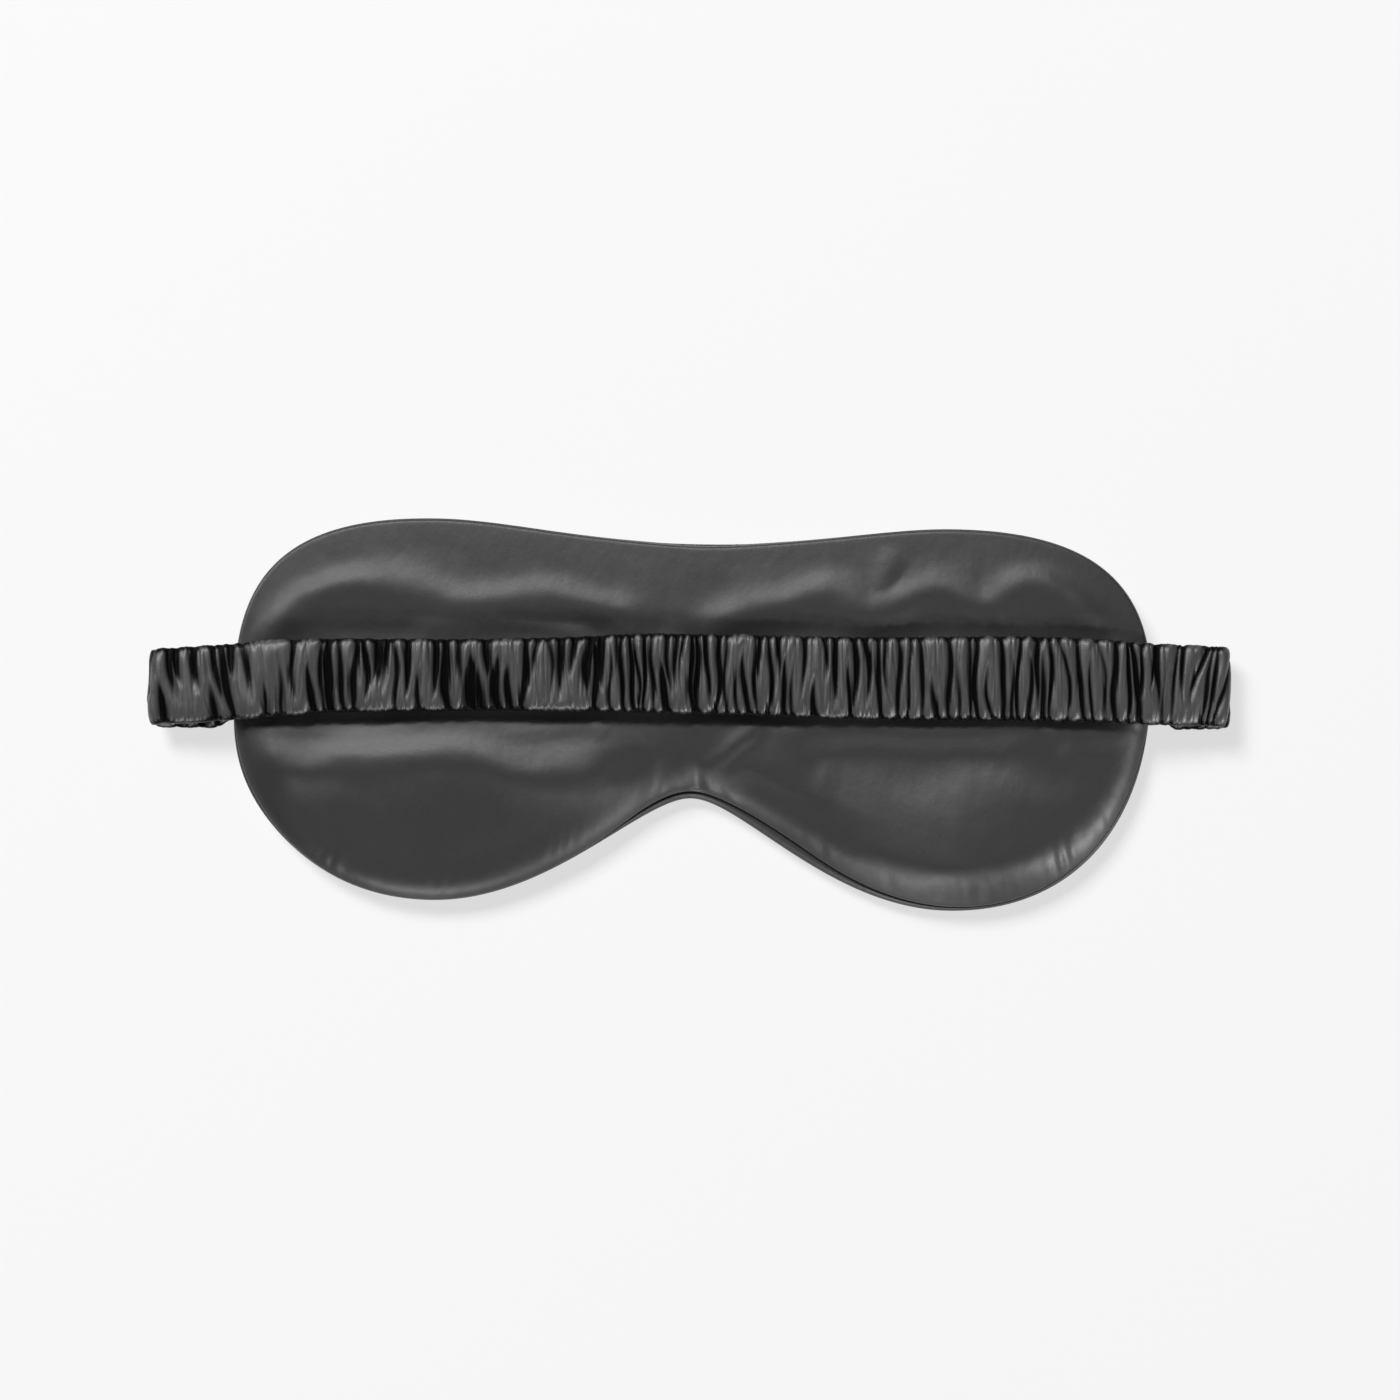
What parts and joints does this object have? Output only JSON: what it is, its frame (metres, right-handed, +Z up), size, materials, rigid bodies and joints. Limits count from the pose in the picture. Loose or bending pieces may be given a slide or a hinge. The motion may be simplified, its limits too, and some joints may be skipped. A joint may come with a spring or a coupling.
{
  "type": "sleep mask",
  "caption": "Padded charcoal satin eye mask with two rounded lobes and a nose notch, lying face side up under its gathered elastic strap.",
  "frame": {"origin": "on the table plane, under the middle of the outer panel", "axes": "+X along the strap towards the right side seam of the picture, +Y towards the brow edge, +Z up from the table to the face side"},
  "size_m": [0.2486, 0.09, 0.0133],
  "materials": {
    "satin": "smooth charcoal satin with a soft sheen",
    "wadding": "lofty white polyester fibre",
    "interlining": "dull black plain weave",
    "elastic": "ribbed black woven elastic",
    "thread": "charcoal spun polyester thread"
  },
  "bodies": {
    "mask": {"front_panel": "satin", "blackout_interlining": "interlining", "wadding": "wadding", "lining_panel": "satin", "seam_thread_brow": "thread", "seam_thread_cheek": "thread", "strap_sewn_end_left": "satin", "strap_sewn_end_right": "satin"},
    "left_return": {"strap_cover_left_end": "satin", "strap_elastic_left_end": "elastic"},
    "left_span": {"strap_cover_left": "satin", "strap_elastic_left": "elastic"},
    "middle_span": {"strap_cover_middle": "satin", "strap_elastic_middle": "elastic"},
    "right_span": {"strap_cover_right": "satin", "strap_elastic_right": "elastic"},
    "right_return": {"strap_cover_right_end": "satin", "strap_elastic_right_end": "elastic"}
  },
  "joints": [
    {"name": "left_seam_hinge", "type": "hinge", "parent": "mask", "child": "left_return", "pos_m": [-0.1076, 0.0064, 0.0044], "axis": [0, 1, 0], "range_deg": [0, 80]},
    {"name": "left_fold_hinge", "type": "hinge", "parent": "left_return", "child": "left_span", "pos_m": [-0.1244, 0.0064, 0.00625], "axis": [0, -1, 0], "range_deg": [0, 116]},
    {"name": "left_bend_hinge", "type": "hinge", "parent": "left_span", "child": "middle_span", "pos_m": [-0.058, 0.0064, 0.0116], "axis": [0, 1, 0], "range_deg": [0, 36]},
    {"name": "right_bend_hinge", "type": "hinge", "parent": "middle_span", "child": "right_span", "pos_m": [0.058, 0.0064, 0.0116], "axis": [0, 1, 0], "range_deg": [0, 36]},
    {"name": "right_fold_hinge", "type": "hinge", "parent": "right_span", "child": "right_return", "pos_m": [0.1244, 0.0064, 0.00625], "axis": [0, -1, 0], "range_deg": [0, 116]}
  ],
  "couplings": [
    {"joint": "left_fold_hinge", "follows": "left_seam_hinge", "ratio": 1.45},
    {"joint": "left_bend_hinge", "follows": "left_seam_hinge", "ratio": 0.45},
    {"joint": "right_bend_hinge", "follows": "left_seam_hinge", "ratio": 0.45},
    {"joint": "right_fold_hinge", "follows": "left_seam_hinge", "ratio": 1.45}
  ]
}
